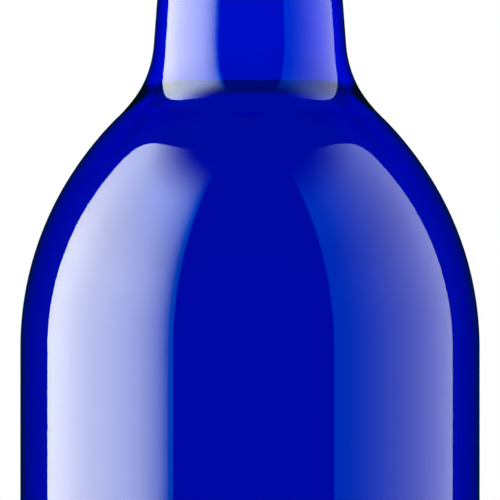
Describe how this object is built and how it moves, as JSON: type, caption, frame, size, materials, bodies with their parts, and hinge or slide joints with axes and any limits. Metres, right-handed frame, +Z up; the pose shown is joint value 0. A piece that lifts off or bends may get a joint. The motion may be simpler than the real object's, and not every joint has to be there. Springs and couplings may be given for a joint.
{
  "type": "swing top bottle",
  "caption": "Round glass bottle with a domed shoulder and a slightly flared neck, shut by a ceramic stopper and rubber washer that a wire lever and yoke clamp over the mouth.",
  "frame": {"origin": "on the bottle's axis, in the plane of the standing ring", "axes": "+Z up along the bottle's axis, +Y towards the thumb lever, X along the closure's hinge lines"},
  "size_m": [0.072, 0.072, 0.2636],
  "materials": {
    "cobalt_glass": "polished",
    "collar_steel": "drawn wire",
    "lever_steel": "drawn wire",
    "yoke_steel": "drawn wire",
    "porcelain": "glazed",
    "washer_rubber": "moulded"
  },
  "bodies": {
    "bottle": {"bottle": "cobalt_glass"},
    "collar": {"neck_collar": "collar_steel"},
    "lever": {"lever": "lever_steel"},
    "yoke": {"yoke": "yoke_steel"},
    "stopper": {"stopper": "porcelain", "washer": "washer_rubber"}
  },
  "joints": [
    {"name": "collar_turn", "type": "hinge", "parent": "bottle", "child": "collar", "pos_m": [0, 0, 0.231], "axis": [0, 0, 1], "continuous": true},
    {"name": "lever_swing", "type": "hinge", "parent": "collar", "child": "lever", "pos_m": [0, 0, 0.2331], "axis": [1, 0, 0], "range_deg": [0, 160]},
    {"name": "yoke_swing", "type": "hinge", "parent": "lever", "child": "yoke", "pos_m": [0, -0.0007, 0.22312], "axis": [1, 0, 0], "range_deg": [-112, 0]},
    {"name": "stopper_tilt", "type": "hinge", "parent": "yoke", "child": "stopper", "pos_m": [0, 0, 0.2569], "axis": [1, 0, 0], "range_deg": [-43.2, 0]}
  ],
  "couplings": [
    {"joint": "yoke_swing", "follows": "lever_swing", "ratio": -0.7},
    {"joint": "stopper_tilt", "follows": "lever_swing", "ratio": -0.27}
  ]
}
